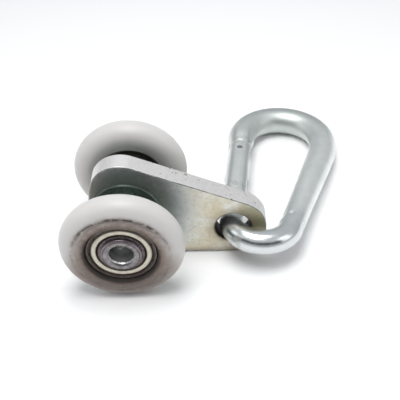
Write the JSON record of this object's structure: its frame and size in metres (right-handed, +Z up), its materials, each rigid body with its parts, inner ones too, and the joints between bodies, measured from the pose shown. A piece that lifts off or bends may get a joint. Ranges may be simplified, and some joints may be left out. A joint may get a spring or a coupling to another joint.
{
  "type": "hanging door roller",
  "caption": "Hanging door roller: nylon wheels on shielded ball bearings, a riveted hollow axle, a steel hanger plate and a snap hook with a spring gate.",
  "frame": {"origin": "middle of the axle, on the axis of its through bore", "axes": "+Y along the axle toward the rear wheel, +Z up, hanger plate reaching toward +X"},
  "size_m": [0.0683, 0.0668, 0.028],
  "materials": {
    "nylon": "semi-gloss white nylon with dark grease round the bearing",
    "plate_zinc": "zinc plate, satin, faintly yellow toward the tip",
    "axle_steel": "drawn steel, greasy",
    "spacer_zinc": "zinc-plated turned steel",
    "bearing_steel": "ground bearing steel, darkened by grease",
    "shield_cream": "pressed steel shield with a cream dried-grease film",
    "ball_steel": "polished steel balls",
    "cage_brass": "pressed brass cage",
    "hook_zinc": "zinc-plated steel wire, satin",
    "pin_steel": "steel pins, ends flush",
    "spring_steel": "spring steel"
  },
  "bodies": {
    "hanger": {"hanger_plate": "plate_zinc", "axle_tube": "axle_steel", "washer_front": "spacer_zinc", "washer_rear": "spacer_zinc", "spacer_front": "spacer_zinc", "spacer_rear": "spacer_zinc", "inner_ring_front": "bearing_steel", "inner_ring_rear": "bearing_steel"},
    "front_wheel": {"tyre_front": "nylon", "outer_ring_front": "bearing_steel", "shield_front_outer": "shield_cream", "shield_front_inner": "shield_cream"},
    "rear_wheel": {"tyre_rear": "nylon", "outer_ring_rear": "bearing_steel", "shield_rear_outer": "shield_cream", "shield_rear_inner": "shield_cream"},
    "front_cage": {"balls_front": "ball_steel", "cage_front": "cage_brass"},
    "rear_cage": {"balls_rear": "ball_steel", "cage_rear": "cage_brass"},
    "hook": {"hook_body": "hook_zinc"},
    "gate": {"gate": "hook_zinc", "hinge_pin": "pin_steel", "latch_pin": "pin_steel", "gate_spring": "spring_steel"},
    "plunger": {"spring_plunger": "pin_steel"}
  },
  "joints": [
    {"name": "front_wheel_spin", "type": "hinge", "parent": "hanger", "child": "front_wheel", "pos_m": [0, -0.01345, 0], "axis": [0, 1, 0], "continuous": true},
    {"name": "rear_wheel_spin", "type": "hinge", "parent": "hanger", "child": "rear_wheel", "pos_m": [0, 0.01345, 0], "axis": [0, 1, 0], "continuous": true},
    {"name": "front_cage_spin", "type": "hinge", "parent": "hanger", "child": "front_cage", "pos_m": [0, -0.01345, 0], "axis": [0, 1, 0], "continuous": true},
    {"name": "rear_cage_spin", "type": "hinge", "parent": "hanger", "child": "rear_cage", "pos_m": [0, 0.01345, 0], "axis": [0, 1, 0], "continuous": true},
    {"name": "hook_turn", "type": "hinge", "parent": "hanger", "child": "hook", "pos_m": [0.03171, 0.00011, -0.00721], "axis": [0.0549, 0.0537, 0.997], "range_deg": [-165, 6]},
    {"name": "gate_open", "type": "hinge", "parent": "hook", "child": "gate", "pos_m": [0.02581, 0.0118, -0.00751], "axis": [0.0549, 0.0537, 0.997], "range_deg": [-30, 0], "stiffness_Nm_per_rad": 0.06, "springref_deg": 22.92},
    {"name": "plunger_slide", "type": "slide", "parent": "gate", "child": "plunger", "axis": [0.1049, 0.9927, -0.0592], "range_m": [0, 0.0005], "deforming": ["gate_spring"]}
  ],
  "couplings": [
    {"joint": "front_cage_spin", "follows": "front_wheel_spin", "ratio": 0.58197},
    {"joint": "rear_cage_spin", "follows": "rear_wheel_spin", "ratio": 0.58197},
    {"joint": "plunger_slide", "follows": "gate_open", "m_per_rad": -0.0009}
  ]
}
